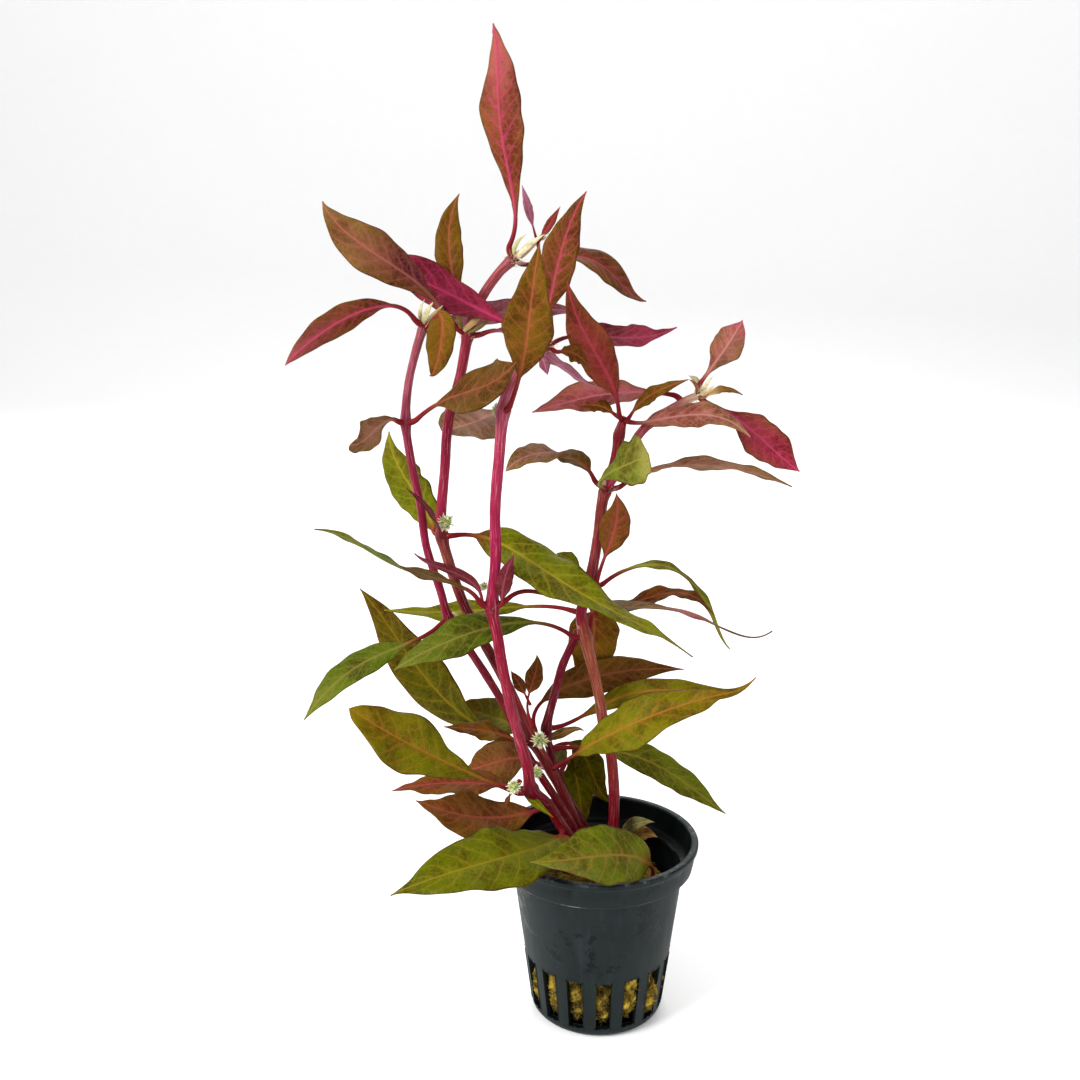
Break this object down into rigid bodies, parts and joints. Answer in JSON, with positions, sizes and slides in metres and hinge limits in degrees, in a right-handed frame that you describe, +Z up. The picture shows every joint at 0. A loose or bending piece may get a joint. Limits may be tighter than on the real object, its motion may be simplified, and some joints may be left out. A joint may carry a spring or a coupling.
{
  "type": "potted aquarium stem plant",
  "caption": "Red-leaved aquarium stem plant with long pointed leaves on leaning pink stems, rooted in a fibre block inside a slotted net pot.",
  "frame": {"origin": "centre of the pot's flat base", "axes": "+Z up along the pot's axis, -Y towards the viewer of the picture, -X the side the plant leans to"},
  "size_m": [0.1196, 0.0717, 0.2472],
  "materials": {
    "pot_plastic": "satin",
    "rock_wool": "matte",
    "stem_red": "satin",
    "leaf_olive": "satin",
    "leaf_brown": "satin",
    "leaf_rose": "satin",
    "flower_cream": "matte"
  },
  "bodies": {
    "root": {"pot": "pot_plastic", "growing_medium": "rock_wool", "stem_left": "stem_red", "stem_tall": "stem_red", "stem_front": "stem_red", "stem_right": "stem_red", "stem_young": "stem_red", "branch_upright": "stem_red", "branch_side": "stem_red", "bud_shoot": "stem_red", "leaf_left_1": "leaf_brown", "leaf_left_2": "leaf_brown", "leaf_left_3": "leaf_rose", "leaf_left_4": "leaf_rose", "leaf_left_5": "leaf_rose", "leaf_left_6": "leaf_rose", "leaf_tall_1": "leaf_brown", "leaf_tall_2": "leaf_olive", "leaf_tall_3": "leaf_olive", "leaf_tall_6": "leaf_brown", "leaf_tall_7": "leaf_brown", "leaf_tall_9": "leaf_rose", "leaf_tall_10": "leaf_rose", "leaf_tall_11": "leaf_rose", "leaf_tall_12": "leaf_rose", "leaf_tall_13": "leaf_rose", "leaf_front_1": "leaf_olive", "leaf_front_2": "leaf_olive", "leaf_front_3": "leaf_olive", "leaf_front_4": "leaf_brown", "leaf_front_5": "leaf_brown", "leaf_front_8": "leaf_rose", "leaf_front_9": "leaf_brown", "leaf_front_10": "leaf_rose", "leaf_front_11": "leaf_rose", "leaf_front_12": "leaf_rose", "leaf_right_1": "leaf_brown", "leaf_right_2": "leaf_brown", "leaf_right_3": "leaf_brown", "leaf_right_4": "leaf_brown", "leaf_right_5": "leaf_brown", "leaf_right_6": "leaf_brown", "leaf_right_7": "leaf_brown", "leaf_right_8": "leaf_brown", "leaf_right_9": "leaf_brown", "leaf_upright_1": "leaf_rose", "leaf_upright_2": "leaf_brown", "leaf_side_1": "leaf_brown", "leaf_side_2": "leaf_brown", "leaf_side_3": "leaf_rose", "leaf_low_1": "leaf_olive", "leaf_low_2": "leaf_olive", "leaf_young_1": "leaf_olive", "leaf_young_2": "leaf_olive", "leaf_young_3": "leaf_olive", "leaf_young_4": "leaf_olive", "flower_head_1": "flower_cream", "flower_head_2": "flower_cream", "flower_head_3": "flower_cream", "flower_head_4": "flower_cream"}
  },
  "joints": []
}
